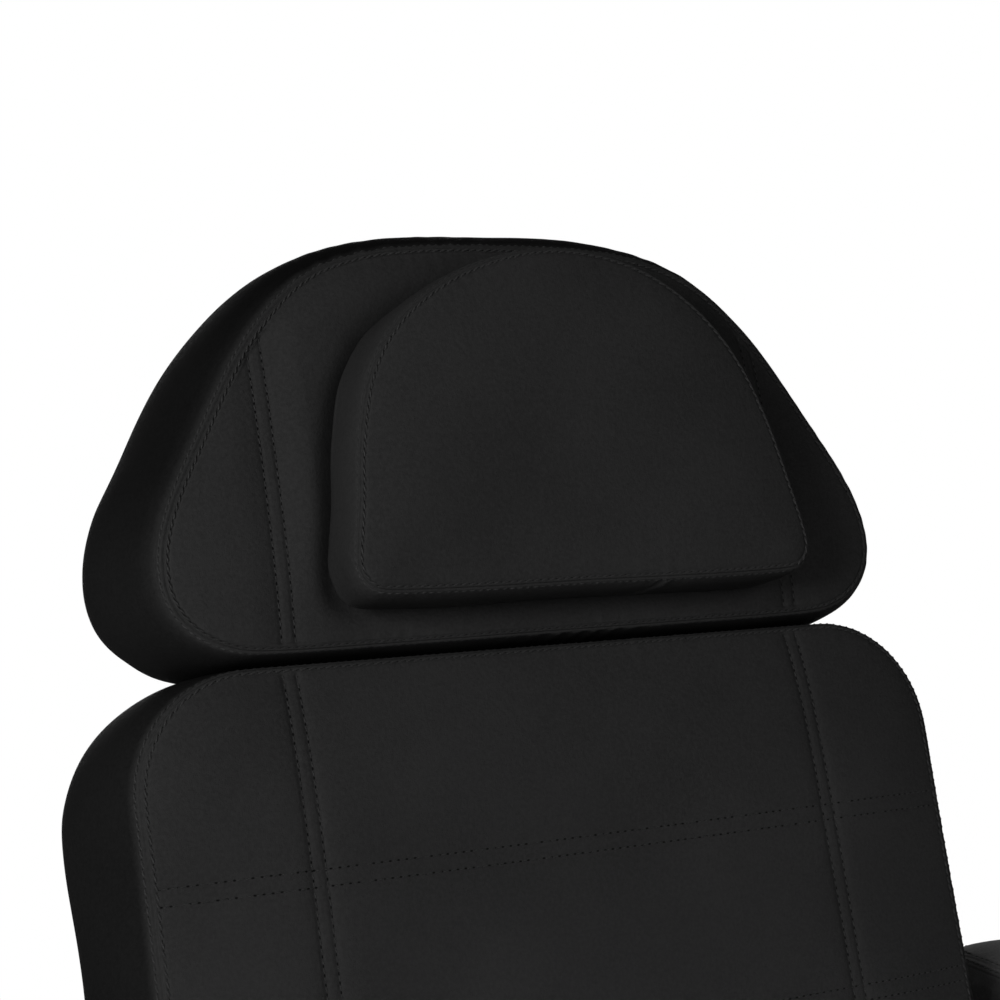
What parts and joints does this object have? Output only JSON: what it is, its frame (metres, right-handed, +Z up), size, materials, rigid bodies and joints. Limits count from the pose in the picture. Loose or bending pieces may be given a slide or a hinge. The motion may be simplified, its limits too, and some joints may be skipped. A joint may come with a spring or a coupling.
{
  "type": "beauty bed",
  "caption": "Padded beauty bed on a hydraulic pedestal: tilting backrest, D-shaped headrest with a matching pillow, lowering leg part and swing-up armrests.",
  "frame": {"origin": "centre of the base plate's underside, on the floor below the column's axis", "axes": "+Z up, +Y from the leg part towards the headrest, +X to the right as seen from the foot end"},
  "size_m": [0.818, 1.3745, 1.2575],
  "materials": {
    "black_leather": "satin black artificial leather with a fine grain",
    "black_steel": "black powder coat",
    "chrome": "polished chrome",
    "zinc_steel": "bright zinc",
    "black_rubber": "matt moulded rubber",
    "black_plastic": "matt moulded plastic",
    "black_board": "board under black lining cloth",
    "black_tape": "hook and loop tape"
  },
  "bodies": {
    "base": {"base_plate": "black_steel", "base_cover": "chrome", "pump_cylinder": "chrome", "pump_gland": "zinc_steel", "pump_bolts": "zinc_steel", "pedal_clamp": "black_steel", "pedal_pin": "zinc_steel"},
    "pedal": {"pedal_arm": "black_steel", "pedal_pad": "black_rubber"},
    "piston": {"piston_rod": "chrome", "thrust_washer": "zinc_steel"},
    "seat": {"swivel_hub": "zinc_steel", "mount_plate": "black_steel", "mount_bolts": "zinc_steel", "seat_frame": "black_steel", "seat_lugs": "black_steel", "seat_board": "black_board", "seat_cushion": "black_leather", "back_pivot_bolts": "zinc_steel", "leg_pivot_bolts": "zinc_steel", "arm_posts": "black_steel", "arm_pivot_bolts": "zinc_steel"},
    "swivel_lock": {"swivel_lock": "zinc_steel"},
    "backrest": {"back_frame": "black_steel", "back_caps": "black_plastic", "back_side_plates": "black_steel", "back_board": "black_board", "back_cushion": "black_leather", "head_guides": "black_steel"},
    "head_slide": {"head_rods": "chrome", "head_hinge_pins": "zinc_steel"},
    "headrest": {"head_leaves": "black_steel", "head_board": "black_board", "head_cushion": "black_leather", "head_tape": "black_tape"},
    "pillow": {"pillow_cushion": "black_leather", "pillow_tape": "black_tape"},
    "head_knob_left": {"head_knob_left": "black_plastic"},
    "head_knob_right": {"head_knob_right": "black_plastic"},
    "legrest": {"leg_frame": "black_steel", "leg_caps": "black_plastic", "leg_side_plates": "black_steel", "leg_board": "black_board", "leg_cushion": "black_leather"},
    "arm_left": {"arm_left_bracket": "black_steel", "arm_left_board": "black_board", "arm_left_pad": "black_leather"},
    "arm_right": {"arm_right_bracket": "black_steel", "arm_right_board": "black_board", "arm_right_pad": "black_leather"}
  },
  "joints": [
    {"name": "lift", "type": "slide", "parent": "base", "child": "piston", "axis": [0, 0, 1], "range_m": [0, 0.16]},
    {"name": "swivel", "type": "hinge", "parent": "piston", "child": "seat", "pos_m": [0, 0, 0.411], "axis": [0, 0, 1], "continuous": true},
    {"name": "swivel_lock", "type": "hinge", "parent": "seat", "child": "swivel_lock", "pos_m": [0.06, 0, 0.411], "axis": [1, 0, 0], "range_deg": [0, 65]},
    {"name": "backrest", "type": "hinge", "parent": "seat", "child": "backrest", "pos_m": [0, 0.262, 0.5435], "axis": [1, 0, 0], "range_deg": [-72, 6]},
    {"name": "legrest", "type": "hinge", "parent": "seat", "child": "legrest", "pos_m": [0, -0.382, 0.5435], "axis": [1, 0, 0], "range_deg": [-18, 45]},
    {"name": "headrest_slide", "type": "slide", "parent": "backrest", "child": "head_slide", "axis": [0, 0.309, 0.9511], "range_m": [0, 0.105]},
    {"name": "headrest_tilt", "type": "hinge", "parent": "head_slide", "child": "headrest", "pos_m": [0, 0.48995, 0.9878], "axis": [1, 0, 0], "range_deg": [-40, 0]},
    {"name": "pillow_lift", "type": "slide", "parent": "headrest", "child": "pillow", "axis": [0, -0.9511, 0.309], "range_m": [0, 0.12]},
    {"name": "head_knob_left", "type": "hinge", "parent": "backrest", "child": "head_knob_left", "pos_m": [-0.08, 0.48349, 0.90158], "axis": [0, -0.9511, 0.309], "continuous": true},
    {"name": "head_knob_right", "type": "hinge", "parent": "backrest", "child": "head_knob_right", "pos_m": [0.08, 0.48349, 0.90158], "axis": [0, -0.9511, 0.309], "continuous": true},
    {"name": "armrest_left", "type": "hinge", "parent": "seat", "child": "arm_left", "pos_m": [-0.329, 0.235, 0.651], "axis": [1, 0, 0], "range_deg": [-90, 0]},
    {"name": "armrest_right", "type": "hinge", "parent": "seat", "child": "arm_right", "pos_m": [0.329, 0.235, 0.651], "axis": [1, 0, 0], "range_deg": [-90, 0]},
    {"name": "pump_pedal", "type": "hinge", "parent": "base", "child": "pedal", "pos_m": [0, 0.092, 0.114], "axis": [1, 0, 0], "range_deg": [-14, 0], "stiffness_Nm_per_rad": 12, "springref_deg": 34.38}
  ]
}
